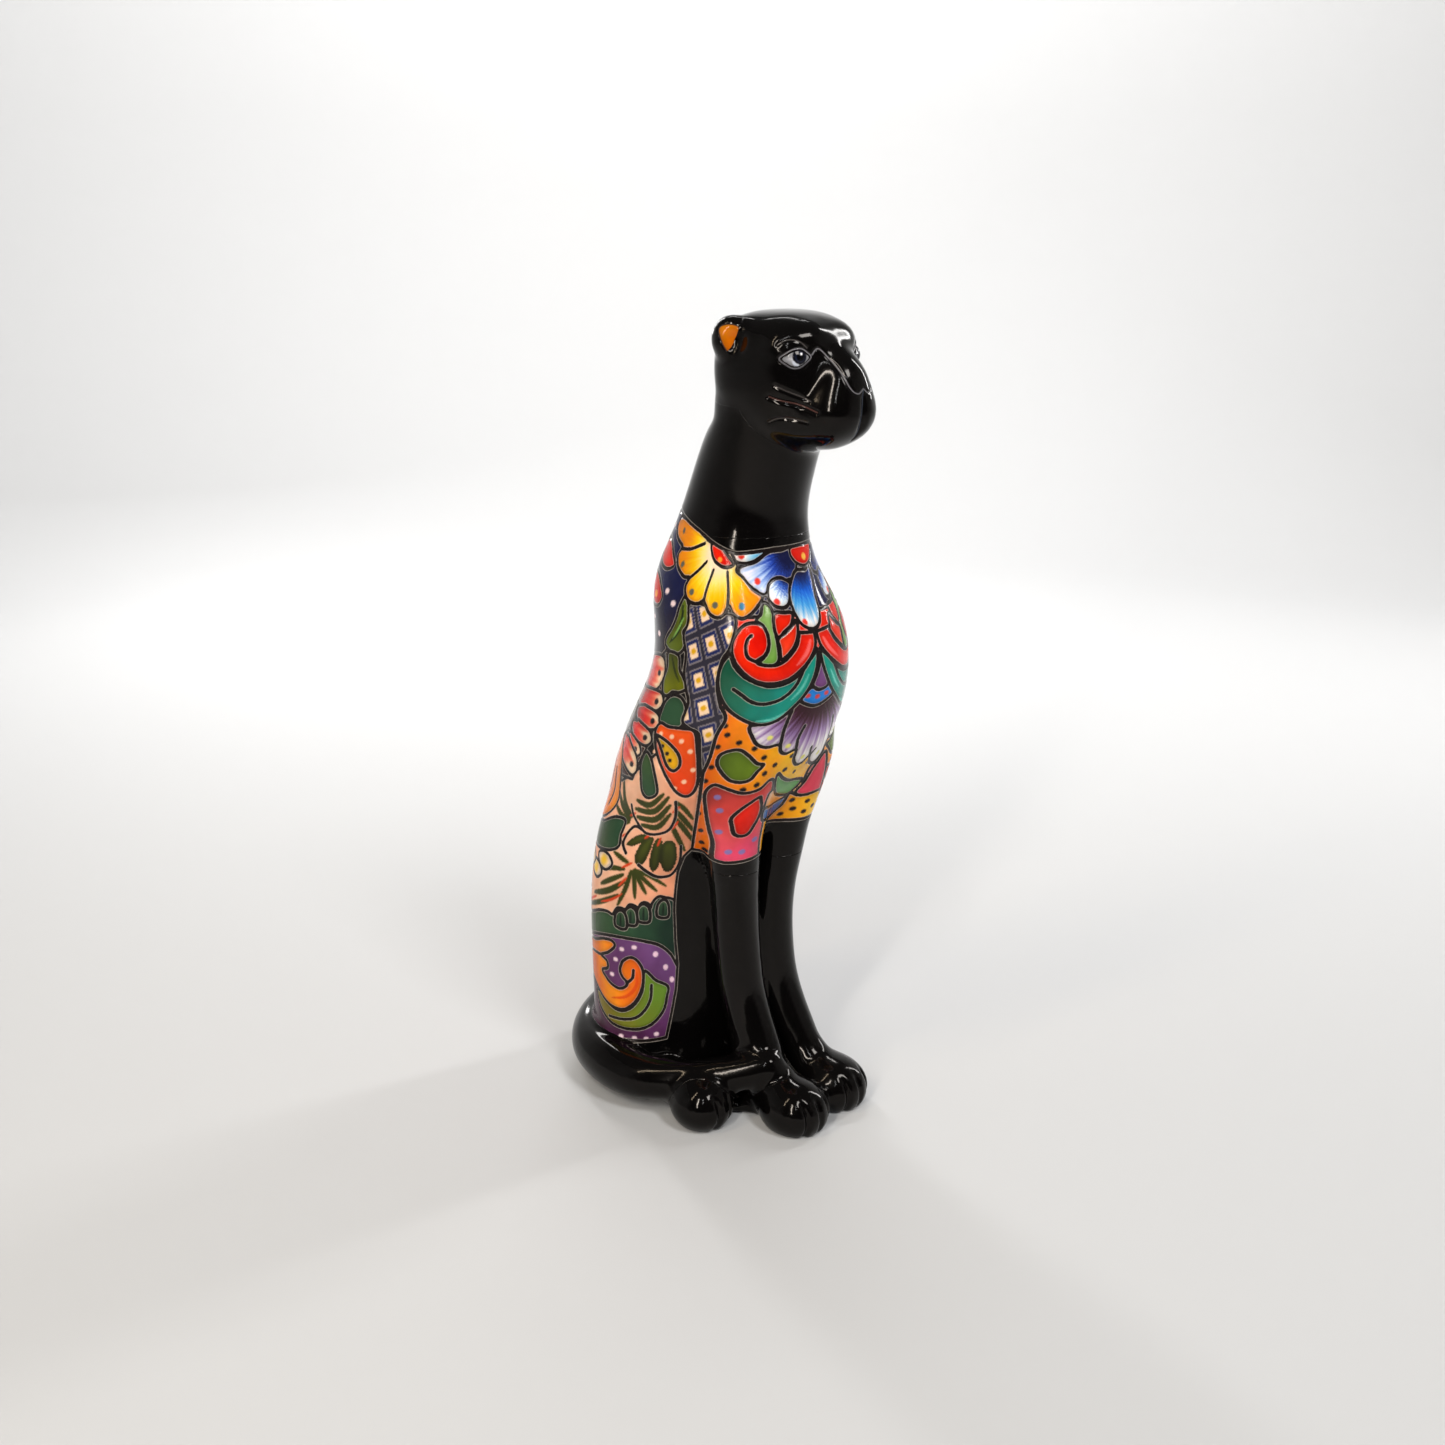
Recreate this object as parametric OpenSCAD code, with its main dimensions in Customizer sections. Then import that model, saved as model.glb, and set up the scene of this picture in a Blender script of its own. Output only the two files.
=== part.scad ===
// Seated ceramic panther: hollow slip castings luted edge to edge, glazed and fired as one.
// The figure faces -Y, stands on Z = 0, and its middle plane is X = 0.

/* [Figure] */
// Height of the figure from the floor to the top of the skull
figure_height = 610; // [560:5:660]
// Wall of the hollow castings
wall = 7; // [6:0.5:9]

/* [Seams] */
// Height of the joint between the body and the neck
neck_seam = 456; // [448:1:462]
// Height of the joint between the neck's top and the inside of the head
head_seam = 546; // [542:1:546]
// Height of the joint between the upper and the lower forelegs
leg_seam = 200; // [190:1:206]

/* [Foot] */
// Thickness of the plate that closes the body underneath
plate_thickness = 8; // [6:1:10]
// Diameter of the vent hole that lets the kiln gases out
vent_diameter = 16; // [10:1:24]
// Height of the web of clay between the feet
web_height = 10; // [6:1:14]

/* [Smoothness] */
// Points round each ring of the body
body_sides = 40; // [28:4:44]
// Points round each ring of a leg, a paw or the tail
limb_sides = 20; // [16:2:22]
// Points round each swelling of the head
head_sides = 28; // [20:4:32]

/* [Hidden] */

glaze_black = "#17130f";
paint_orange = "#e8861a";
ear_orange = "#d9791a";
clay_red = "#b5654a";

design_height = 610;
size_factor = figure_height / design_height;
right_side = -1;
left_side = 1;
far_out = 400;

// Trunk and neck: height, front, back, half width
trunk_stations = [
    [0, -14, 98, 60], [30, -16, 105, 62], [70, -16, 109, 61], [110, -15, 110, 60],
    [150, -14, 109, 59], [185, -17, 107, 61], [215, -32, 103, 66], [240, -50, 98, 71],
    [265, -67, 90, 75], [290, -82, 79, 77], [315, -94, 66, 77], [340, -101, 52, 75],
    [365, -103, 44, 73], [390, -98, 45, 71], [410, -87, 48, 66], [430, -76, 45, 57],
    [450, -71, 36, 49], [470, -70, 27, 44], [490, -74, 19, 42], [510, -80, 11, 41],
    [530, -85, 1, 41], [546, -88, -7, 39]];

// One haunch: height, distance out, centre along Y, half width, half depth
haunch_stations = [
    [0, 38, 46, 27, 42], [30, 40, 52, 34, 44], [75, 40, 54, 38, 42], [120, 40, 54, 38, 43],
    [160, 39, 54, 38, 43], [200, 37, 50, 37, 43], [235, 35, 45, 33, 38],
    [265, 33, 38, 26, 29], [290, 30, 32, 12, 15]];
haunch_top = 290;

// One foreleg from the floor up: height, distance out, centre along Y, half width, half depth
foreleg_stations = [
    [0, 23, -66, 15, 25], [20, 23, -66, 16, 27], [40, 22, -60, 17, 25], [58, 21, -53, 18, 22],
    [80, 20, -44, 18, 20], [105, 19.5, -37, 18, 19], [140, 20, -33, 18.5, 19],
    [170, 22, -33, 19, 19.5], [200, 26, -35, 20.5, 21], [225, 29, -37, 23, 23],
    [250, 32, -41, 26, 27], [285, 36, -45, 27, 32], [318, 36, -46, 21, 28],
    [342, 33, -44, 10, 16]];
foreleg_top = 342;

// Tail along its middle line: X, Y, Z, half width, half height
tail_stations = [
    [40, 92, 40, 15, 18], [16, 106, 34, 16, 19], [-16, 112, 29, 17, 20],
    [-48, 101, 26, 18, 20], [-72, 77, 25, 19, 20], [-84, 46, 25, 19, 20],
    [-85, 16, 25, 18, 19], [-77, -8, 27, 16, 17], [-64, -29, 30, 15, 16],
    [-50, -48, 34, 15, 16], [-37, -63, 39, 15, 15], [-28, -73, 43, 14, 14]];

function between(a, b, t) = a + (b - a) * t;

// Catmull-Rom curve through four rows of numbers
function curve(p, q, r, s, t) = 0.5 * (2 * q + (r - p) * t
    + (2 * p - 5 * q + 4 * r - s) * t * t + (3 * q - p - 3 * r + s) * t * t * t);

// The rows of a station table with extra rows worked out between them
function refined(rows, steps) = [
    for (i = [0 : len(rows) - 2], k = [0 : steps - 1])
        curve(rows[max(i - 1, 0)], rows[i], rows[i + 1],
              rows[min(i + 2, len(rows) - 1)], k / steps),
    rows[len(rows) - 1]];

function at_height(rows, z) = let (
        i = [for (k = [0 : len(rows) - 2])
             if ((rows[k][0] - z) * (rows[k + 1][0] - z) <= 0) k][0],
        t = (z - rows[i][0]) / (rows[i + 1][0] - rows[i][0]))
    between(rows[i], rows[i + 1], t);

// The rows of a refined table between two heights, with a row worked out at each end
function span(rows, low, high) = [
    at_height(rows, low),
    for (row = rows) if (row[0] > low + 1 && row[0] < high - 1) row,
    at_height(rows, high)];

function ellipse_ring(x, y, z, a, b, sides) = [
    for (k = [0 : sides - 1]) let (turn = 360 * k / sides)
        [x + a * sin(turn), y - b * cos(turn), z]];

// A sine or cosine made squarer as the power goes above 2
function squarish(value, power) = sign(value) * pow(abs(value), 2 / power);

function trunk_ring(row, inset = 0) = ellipse_ring(
    0, (row[1] + row[2]) / 2, row[0],
    row[3] - inset, (row[2] - row[1]) / 2 - inset, body_sides);

function limb_ring(row, side) =
    ellipse_ring(side * row[1], row[2], row[0], row[3], row[4], limb_sides);

// A closed solid through a row of rings that all have the same number of points
module loft(rings) {
    sides = len(rings[0]);
    last = len(rings) - 1;
    walls = [for (i = [0 : last - 1], k = [0 : sides - 1]) let (n = (k + 1) % sides)
             each [[i * sides + k, (i + 1) * sides + n, i * sides + n],
                   [i * sides + k, (i + 1) * sides + k, (i + 1) * sides + n]]];
    start_cap = [[for (k = [0 : sides - 1]) k]];
    end_cap = [[for (k = [sides - 1 : -1 : 0]) last * sides + k]];
    polyhedron([for (ring = rings) each ring], concat(walls, start_cap, end_cap));
}

// A rounded lump with its centre and half sizes: an ellipsoid at power 2, boxier above that
module blob(centre, half, sides = limb_sides, power = 2) {
    turns = floor(sides / 2);
    loft([for (i = [0 : turns]) let (
              tilt = between(-86, 86, i / turns),
              reach = squarish(cos(tilt), power),
              z = centre[2] + half[2] * squarish(sin(tilt) / sin(86), power))
          [for (k = [0 : sides - 1]) let (turn = 360 * (k + 0.5) / sides)
           [centre[0] + half[0] * reach * squarish(sin(turn), power),
            centre[1] - half[1] * reach * squarish(cos(turn), power), z]]]);
}

module above_floor() {
    intersection() {
        children();
        translate([-far_out, -far_out, 0]) cube([2 * far_out, 2 * far_out, 2 * far_out]);
    }
}

trunk_rows = refined(trunk_stations, 2);
haunch_rows = refined(haunch_stations, 3);
foreleg_rows = refined(foreleg_stations, 3);
tail_rows = refined(tail_stations, 4);

module trunk(low, high) {
    loft([for (row = span(trunk_rows, low, high)) trunk_ring(row)]);
}

// The inside of the trunk or neck casting, which is plainer than its outside
module hollow(low, high) {
    loft([for (row = span(trunk_stations, low, high)) trunk_ring(row, wall)]);
}

module haunch(side, inset = 0) {
    rows = inset == 0 ? haunch_rows : span(haunch_rows, 2 * inset, haunch_top - 3 * inset);
    loft([for (row = rows) limb_ring(row - inset * [0, 0, 0, 1, 1], side)]);
}

module foreleg(side, low, high) {
    loft([for (row = span(foreleg_rows, low, high)) limb_ring(row, side)]);
}

module body_outside() {
    trunk(0, neck_seam);
    haunch(right_side);
    haunch(left_side);
}

module body_shell() {
    color(paint_orange) difference() {
        union() {
            body_outside();
            foreleg(right_side, leg_seam, foreleg_top);
            foreleg(left_side, leg_seam, foreleg_top);
        }
        hollow(0, neck_seam);
        haunch(right_side, wall);
        haunch(left_side, wall);
    }
}

module neck_shell() {
    color(glaze_black) difference() {
        trunk(neck_seam, head_seam);
        hollow(neck_seam, head_seam);
    }
}

module skull(inset = 0) {
    blob([0, -59, 572], [44, 44, 38] - inset * [1, 1, 1], head_sides, 3);
}

module cheeks(inset = 0) {
    blob([0, -68, 552], [42, 37, 34] - inset * [1, 1, 1], head_sides, 2.3);
}

module jaw() {
    blob([0, -82, 539], [33, 34, 22], head_sides);
    blob([0, -95, 531], [18, 22, 14], head_sides);
}

module muzzle() {
    blob([0, -97, 545], [24, 29, 23], head_sides, 2.3);
    blob([0, -91, 562], [18, 31, 24], head_sides, 2.3);
}

// The head is a cup luted over the stub of the neck
module head_shell() {
    color(glaze_black) difference() {
        union() {
            skull();
            cheeks();
            jaw();
            muzzle();
        }
        skull(wall);
        cheeks(wall);
        trunk(490, head_seam);
    }
}

module ear(side) {
    color(ear_orange) difference() {
        blob([side * 35, -41, 593], [11, 10, 15], 16);
        skull();
    }
}

module ear_right() { ear(right_side); }
module ear_left() { ear(left_side); }

module front_leg(side) {
    foreleg(side, 0, leg_seam);
    above_floor() blob([side * 25, -96, 14], [23, 27, 20], limb_sides, 2.3);
}

module foreleg_casting(side) {
    color(glaze_black) union() front_leg(side);
}

module foreleg_right() { foreleg_casting(right_side); }
module foreleg_left() { foreleg_casting(left_side); }

module hind_foot(side) {
    out = side == right_side ? 69 : 61;
    toe = side == right_side ? -40 : -14;
    above_floor() {
        blob([side * out, toe, 17], [21, 24, 20]);
        blob([side * (out - 7), toe + 26, 16], [19, 44, 18]);
    }
}

module hind_paw(side) {
    color(glaze_black) difference() {
        hind_foot(side);
        body_outside();
        front_leg(side);
    }
}

module hind_paw_right() { hind_paw(right_side); }
module hind_paw_left() { hind_paw(left_side); }

function tail_ring(i) = let (
        row = tail_rows[i],
        before = tail_rows[max(i - 1, 0)],
        after = tail_rows[min(i + 1, len(tail_rows) - 1)],
        along = [after[0] - before[0], after[1] - before[1], 0],
        across = [-along[1], along[0], 0] / norm(along))
    [for (k = [0 : limb_sides - 1]) let (turn = 360 * k / limb_sides)
        [row[0], row[1], row[2]] + across * row[3] * cos(turn) + [0, 0, row[4] * sin(turn)]];

module tail_form() {
    last = len(tail_rows) - 1;
    above_floor() {
        loft([for (i = [0 : last]) tail_ring(i)]);
        blob([for (k = [0 : 2]) tail_rows[last][k]], [14, 14, 14]);
    }
}

module tail() {
    color(glaze_black) difference() {
        tail_form();
        body_outside();
        hind_foot(right_side);
        front_leg(right_side);
    }
}

// Clay left between the feet, which ties them together at the floor
module foot_web() {
    color(glaze_black) difference() {
        linear_extrude(web_height)
            polygon([[-66, -34], [-48, -52], [-35, -70], [-25, -98], [25, -98], [35, -70],
                     [46, -44], [60, -12], [50, 20], [-50, 20]]);
        body_outside();
        for (side = [right_side, left_side]) {
            front_leg(side);
            hind_foot(side);
        }
        tail_form();
    }
}

module bottom_plate() {
    color(clay_red) difference() {
        hollow(0, plate_thickness);
        translate([0, 44, -1]) cylinder(d = vent_diameter, h = plate_thickness + 2, $fn = 48);
    }
}

scale(size_factor) {
    body_shell();
    neck_shell();
    head_shell();
    ear_right();
    ear_left();
    foreleg_right();
    foreleg_left();
    hind_paw_right();
    hind_paw_left();
    tail();
    foot_web();
    bottom_plate();
}
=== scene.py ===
"""Seated ceramic panther: glazed skins grown from the CAD castings, cut back into pieces and painted."""
import math
import bpy
import numpy as np
import openvdb
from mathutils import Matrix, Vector, geometry


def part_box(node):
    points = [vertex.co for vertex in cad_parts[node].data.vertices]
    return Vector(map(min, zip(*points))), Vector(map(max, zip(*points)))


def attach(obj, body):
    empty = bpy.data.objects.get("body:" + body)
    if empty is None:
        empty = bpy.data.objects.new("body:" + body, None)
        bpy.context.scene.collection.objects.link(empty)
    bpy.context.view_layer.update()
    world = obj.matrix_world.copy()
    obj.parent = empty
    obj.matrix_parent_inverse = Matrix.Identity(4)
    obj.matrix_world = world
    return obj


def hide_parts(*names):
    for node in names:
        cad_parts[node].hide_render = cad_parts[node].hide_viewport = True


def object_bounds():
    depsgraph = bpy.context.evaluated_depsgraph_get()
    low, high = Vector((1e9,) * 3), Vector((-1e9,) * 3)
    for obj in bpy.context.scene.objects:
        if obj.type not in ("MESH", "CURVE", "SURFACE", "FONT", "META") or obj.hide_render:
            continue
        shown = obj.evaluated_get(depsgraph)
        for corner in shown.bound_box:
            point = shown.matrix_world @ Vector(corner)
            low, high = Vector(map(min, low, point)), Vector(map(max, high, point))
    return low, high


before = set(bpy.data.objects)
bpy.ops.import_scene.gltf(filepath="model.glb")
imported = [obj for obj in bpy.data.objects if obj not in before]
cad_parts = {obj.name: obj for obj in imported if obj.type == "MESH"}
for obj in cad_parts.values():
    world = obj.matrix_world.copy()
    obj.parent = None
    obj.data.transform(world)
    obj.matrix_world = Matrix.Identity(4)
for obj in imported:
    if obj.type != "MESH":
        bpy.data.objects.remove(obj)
cad_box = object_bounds()

MM = 0.001
LOW = np.array(cad_box[0]) / MM
HIGH = np.array(cad_box[1]) / MM
BAND = 12.0
MARGIN = 8.0
NECK_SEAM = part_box("neck_shell")[0][2] / MM
SIDES = {"right": -1.0, "left": 1.0}
PLATE_POCKET = 14.0
AIR_STEPS = 20


# ---------------------------------------------------------------- small helpers
def smoothstep(low, high, value):
    t = np.clip((value - low) / (high - low), 0.0, 1.0)
    return t * t * (3.0 - 2.0 * t)


def mix(a, b, t):
    return a + (b - a) * t


def smooth_union(a, b, radius):
    """Join two distance fields with a fillet of about the given radius."""
    h = np.clip(0.5 + 0.5 * (b - a) / radius, 0.0, 1.0)
    return b + (a - b) * h - radius * h * (1.0 - h)


def smooth_cut(a, b, radius):
    """Take b away from a, with a rounded edge."""
    return -smooth_union(-a, b, radius)


def blurred(field, sigma):
    """Gaussian blur of a 3-D array, sigma in cells."""
    reach = int(math.ceil(2.5 * sigma))
    steps = np.arange(-reach, reach + 1)
    weights = np.exp(-0.5 * (steps / sigma) ** 2)
    weights = (weights / weights.sum()).astype(np.float32)
    for axis in range(3):
        pad = [(reach, reach) if k == axis else (0, 0) for k in range(3)]
        wide = np.pad(field, pad, mode="edge")
        size = field.shape[axis]
        total = np.zeros_like(field)
        for step, weight in enumerate(weights):
            window = [slice(None)] * 3
            window[axis] = slice(step, step + size)
            total += weight * wide[tuple(window)]
        field = total
    return field


# ---------------------------------------------------------------- distance fields on a grid of cells
class Cells:
    """A block of cubic cells: its corners and cell size are in millimetres."""

    def __init__(self, low, high, size):
        self.size = size
        self.start = tuple(int(math.floor(v / size)) for v in low)
        end = [int(math.ceil(v / size)) for v in high]
        self.shape = tuple(e - s + 1 for s, e in zip(self.start, end))
        self.transform = openvdb.createLinearTransform(voxelSize=size)
        axes = [(np.arange(n) + s) * size for n, s in zip(self.shape, self.start)]
        grids = np.meshgrid(*axes, indexing="ij", sparse=True)
        self.x, self.y, self.z = (g.astype(np.float32) for g in grids)

    def distance(self, points, triangles=None, quads=None):
        """Signed distance to a closed mesh, negative inside, up to BAND each way."""
        grid = openvdb.FloatGrid.createLevelSetFromPolygons(
            points, triangles=triangles, quads=quads,
            transform=self.transform, halfWidth=BAND / self.size)
        field = np.empty(self.shape, np.float32)
        grid.copyToArray(field, ijk=self.start)
        return field

    def surface(self, field):
        """Points and quads of the surface where the field is zero."""
        grid = openvdb.FloatGrid(BAND)
        grid.transform = self.transform
        grid.gridClass = openvdb.GridClass.LEVEL_SET
        grid.copyFromArray(np.clip(field, -BAND, BAND), ijk=self.start)
        return grid.convertToQuads(isovalue=0.0)

    def egg(self, centre, half):
        """Rough distance to an ellipsoid."""
        parts = [(g - c) for g, c in zip((self.x, self.y, self.z), centre)]
        near = np.sqrt(sum((p / h) ** 2 for p, h in zip(parts, half)))
        slope = np.sqrt(sum((p / h ** 2) ** 2 for p, h in zip(parts, half)))
        return near * (near - 1.0) / np.maximum(slope, 1e-4)

    def rod(self, start, end, start_radius, end_radius):
        """Distance to a round-ended rod that may taper."""
        along = np.subtract(end, start)
        parts = [(g - c) for g, c in zip((self.x, self.y, self.z), start)]
        t = np.clip(sum(p * a for p, a in zip(parts, along)) / (along @ along), 0.0, 1.0)
        reach = np.sqrt(sum((p - a * t) ** 2 for p, a in zip(parts, along)))
        return reach - mix(start_radius, end_radius, t)


def casting(name):
    """Points in millimetres and triangles of one CAD node."""
    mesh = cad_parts[name].data
    mesh.calc_loop_triangles()
    points = np.array([v.co for v in mesh.vertices], np.float32) / np.float32(MM)
    corners = np.array([t.vertices for t in mesh.loop_triangles], np.uint32)
    return points, corners


def reached_by_air(air):
    """The cells that open air reaches from the sides, and up to AIR_STEPS cells round corners."""
    reached = np.zeros_like(air)
    for axis, flip in ((0, False), (0, True), (1, False), (1, True)):
        run = np.flip(air, axis) if flip else air
        run = np.logical_and.accumulate(run, axis)
        reached |= np.flip(run, axis) if flip else run
    for _ in range(AIR_STEPS):
        grown = reached.copy()
        for axis in range(3):
            before = [slice(None)] * 3
            after = [slice(None)] * 3
            before[axis] = slice(0, -1)
            after[axis] = slice(1, None)
            grown[tuple(after)] |= reached[tuple(before)]
            grown[tuple(before)] |= reached[tuple(after)]
        reached = grown & air
    return reached


def fused(cells, fields):
    """Distance to the outside of all the castings together, with the seams and the hollows filled."""
    overlap = 0.35 * cells.size
    joined = np.minimum.reduce(fields) - overlap
    air = (joined > 0.0) & (cells.z >= 0.0)
    joined[air & ~reached_by_air(air)] = -BAND
    for axis in range(3):
        for end in (0, -1):
            joined[tuple(end if k == axis else slice(None) for k in range(3))] = BAND
    points, quads = cells.surface(joined)
    return cells.distance(points, quads=quads) + overlap


# ---------------------------------------------------------------- the two skins
BODY_NODES = ["body_shell", "foreleg_right", "foreleg_left", "hind_paw_right", "hind_paw_left",
              "tail", "foot_web"]
HEAD_NODES = ["head_shell", "ear_right", "ear_left", "neck_shell"]


def body_skin():
    """The body's rounded distance field, its cells, and the distance to each casting."""
    cells = Cells(LOW - MARGIN, (HIGH[0] + MARGIN, HIGH[1] + MARGIN, 500.0), 2.0)
    names = BODY_NODES + ["neck_shell", "head_shell", "bottom_plate"]
    fields = {name: cells.distance(*casting(name)) for name in names}
    sharp = fused(cells, list(fields.values()))
    fine = blurred(sharp, 1.6)
    broad = blurred(sharp, 3.6)
    torso = smoothstep(195.0, 260.0, cells.z)
    haunch = smoothstep(45.0, 80.0, cells.z) * smoothstep(-14.0, 4.0, cells.y)
    field = mix(fine, broad, np.maximum(torso, haunch))
    for side in SIDES.values():
        instep = cells.rod((side * 22, -76, 26), (side * 24, -96, 18), 17.0, 17.0)
        field = smooth_union(field, instep, 10.0)
        instep = cells.egg((side * 24, -97, 14), (24.5, 27.0, 21.0))
        field = smooth_union(field, instep, 8.0)
    for centre in ((-70, -41, 16), (62, -15, 16)):
        field = smooth_union(field, cells.egg(centre, (23.5, 24.5, 21.0)), 8.0)
    return cells, fields, np.maximum(field, -cells.z)


def head_skin():
    """The head and neck, with brows, eyes, muzzle, nose and ears raised on the castings' shape."""
    cells = Cells((-64.0, LOW[1] - MARGIN, 436.0), (64.0, 60.0, HIGH[2] + MARGIN), 1.0)
    fields = {name: cells.distance(*casting(name)) for name in HEAD_NODES + ["body_shell"]}
    sharp = fused(cells, list(fields.values()))
    field = blurred(sharp, 5.5) - 1.3 * smoothstep(520.0, 560.0, cells.z)
    for side in SIDES.values():
        brow = cells.rod((side * 17, -93, 592), (side * 35, -81, 588), 5.0, 2.0)
        field = smooth_union(field, brow, 14.0)
        socket = cells.egg((side * 35, -108, 581), (13.0, 9.0, 9.0))
        field = smooth_cut(field, socket, 9.0)
        eyeball = cells.egg((side * 27.5, -89.5, 580.5), (11.5, 10.5, 8.0))
        field = smooth_union(field, eyeball, 3.0)
        lobe = cells.egg((side * 10, -107, 545), (14.5, 17.5, 16.0))
        field = smooth_union(field, lobe, 14.0)
        ear = cells.egg((side * 36, -40, 592), (12.5, 14.0, 15.0))
        field = smooth_union(field, ear, 5.0)
        hollow = cells.egg((side * 49, -53, 592), (9.0, 9.0, 10.5))
        field = smooth_cut(field, hollow, 3.0)
    nape = cells.egg((0, -31, 548), (31.0, 19.5, 17.0))
    field = smooth_union(field, nape, 10.0)
    bridge = cells.rod((0, -87, 583), (0, -109, 563), 14.0, 13.0)
    field = smooth_union(field, bridge, 16.0)
    split = cells.rod((0, -129, 556), (0, -126, 530), 2.0, 2.0)
    return cells, fields, blurred(smooth_cut(field, split, 4.0), 1.5)


def mesh_object(name, points, faces):
    """An object from points in millimetres, and faces as openvdb winds them."""
    mesh = bpy.data.meshes.new(name)
    mesh.from_pydata((points * MM).tolist(), [], faces[:, ::-1].tolist())
    piece = bpy.data.objects.new(name, mesh)
    bpy.context.scene.collection.objects.link(piece)
    return piece


def apply_modifiers(piece):
    """Swap the piece's mesh for what its modifiers make of it."""
    graph = bpy.context.evaluated_depsgraph_get()
    mesh = bpy.data.meshes.new_from_object(piece.evaluated_get(graph))
    piece.modifiers.clear()
    old = piece.data
    piece.data = mesh
    bpy.data.meshes.remove(old)


def refined(piece, levels=1):
    modifier = piece.modifiers.new("finer", "SUBSURF")
    modifier.levels = levels
    apply_modifiers(piece)
    return piece


def combined(piece, tool, operation):
    """Boolean of a piece with a cutting tool."""
    modifier = piece.modifiers.new("cut", "BOOLEAN")
    modifier.solver = "MANIFOLD"
    modifier.operation = operation
    modifier.object = tool
    apply_modifiers(piece)
    return piece


def copied(piece, name):
    twin = piece.copy()
    twin.data = piece.data.copy()
    twin.name = name
    bpy.context.scene.collection.objects.link(twin)
    return twin


def share(name, fields, reach=8.0):
    """The space nearer to one casting than to any other, out to a little way off it."""
    others = np.minimum.reduce([field for other, field in fields.items() if other != name])
    return np.maximum(fields[name] - others, fields[name] - reach)


def cut_off(whole, cells, name, fields):
    """Cut one casting's share off the whole skin, and return it as a piece of its own."""
    tool = mesh_object("tool", *cells.surface(share(name, fields)))
    piece = combined(copied(whole, name + "_glazed"), tool, "INTERSECT")
    combined(whole, tool, "DIFFERENCE")
    bpy.data.objects.remove(tool)
    return piece


def cut_at(whole, low, high):
    """Keep only what is between two heights, in millimetres."""
    corners = np.array([(x, y, z) for x in (-200.0, 200.0) for y in (-200.0, 200.0) for z in (low, high)])
    sides = np.array([(0, 1, 3, 2), (4, 6, 7, 5), (0, 4, 5, 1), (2, 3, 7, 6), (0, 2, 6, 4), (1, 5, 7, 3)])
    tool = mesh_object("tool", corners, sides[:, ::-1])
    combined(whole, tool, "INTERSECT")
    bpy.data.objects.remove(tool)
    return whole


def opened_for_plate(body):
    """Cut the foot open where the bare clay plate sits, with a little room behind its vent."""
    points, _ = casting("bottom_plate")
    flat = [tuple(p) for p in points[:, :2].tolist()]
    rim = np.array([flat[k] for k in geometry.convex_hull_2d(flat)])
    middle = rim.mean(0)
    rim = middle + (rim - middle) * 1.004
    count = len(rim)
    top = PLATE_POCKET
    corners = np.array([(x, y, z) for z in (-2.0, top) for x, y in rim])
    mesh = bpy.data.meshes.new("pocket")
    ring = list(range(count))
    faces = [ring[::-1], [count + k for k in ring]]
    faces += [[k, (k + 1) % count, count + (k + 1) % count, count + k] for k in ring]
    mesh.from_pydata((corners * MM).tolist(), [], faces)
    tool = bpy.data.objects.new("pocket", mesh)
    bpy.context.scene.collection.objects.link(tool)
    combined(body, tool, "DIFFERENCE")
    bpy.data.objects.remove(tool)
    return body


def glazed_pieces():
    """Every piece of the glazed figure, by the name of the casting that it stands for."""
    pieces = {}
    cells, fields, field = body_skin()
    whole = refined(mesh_object("body_shell_glazed", *cells.surface(field)))
    whole = cut_at(whole, -1.0, NECK_SEAM)
    for name in BODY_NODES[1:]:
        pieces[name] = cut_off(whole, cells, name, fields)
    pieces["body_shell"] = opened_for_plate(whole)
    cells, fields, field = head_skin()
    whole = refined(mesh_object("neck_shell_glazed", *cells.surface(field)))
    whole = cut_at(whole, NECK_SEAM, HIGH[2] + MARGIN)
    for name in HEAD_NODES[:3]:
        pieces[name] = cut_off(whole, cells, name, fields)
    pieces["neck_shell"] = whole
    return pieces


# ---------------------------------------------------------------- painting: a chart wrapped round the body
# A place on the chart is (around, height) in millimetres. Around is measured on a drum of radius DRUM,
# from the middle of the chest towards the figure's right side, and 251 is the middle of the back.
DRUM = 80.0
BACK = math.pi * DRUM
LINE_FAR = 10.0
PAINT_TOP = 474.0

BLACK = (7, 6, 6)
CREAM = (244, 208, 172)
WHITE = (246, 240, 236)
YELLOW = (246, 190, 12)
ORANGE = (240, 140, 14)
DEEP_ORANGE = (222, 96, 8)
RED = (228, 34, 12)
PINK = (226, 74, 92)
MAROON = (52, 20, 26)
PURPLE = (108, 66, 118)
NAVY = (22, 26, 66)
COBALT = (26, 88, 196)
TEAL = (20, 132, 118)
DARK_TEAL = (28, 84, 62)
DARK_GREEN = (42, 74, 50)
OLIVE = (70, 78, 20)
MOSS = (96, 112, 30)
LEAF = (112, 156, 72)
INK = (22, 18, 20)


def middle_line(height):
    """Where the middle of the painting runs; the painter didn't keep it quite straight."""
    return np.interp(height, [265.0, 345.0, 390.0, 440.0], [3.0, 7.0, 8.0, -10.0])


def drum_chart(points):
    """Each point's place on the drum; the drum's axis leans forward as the body does."""
    axis_y = mix(48.0, -16.0, smoothstep(150.0, 400.0, points[:, 2]))
    around = DRUM * np.arctan2(-points[:, 0], axis_y - points[:, 1])
    return np.stack([around, points[:, 2]], 1)


def mirrored_chart(chart):
    """The left side folded onto the right side, about the painting's middle line."""
    middle = middle_line(chart[:, 1])
    t = (middle - chart[:, 0]) / (middle + BACK)
    folded = middle + t * (BACK - middle)
    return np.stack([np.where(chart[:, 0] < middle, folded, chart[:, 0]), chart[:, 1]], 1)


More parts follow.
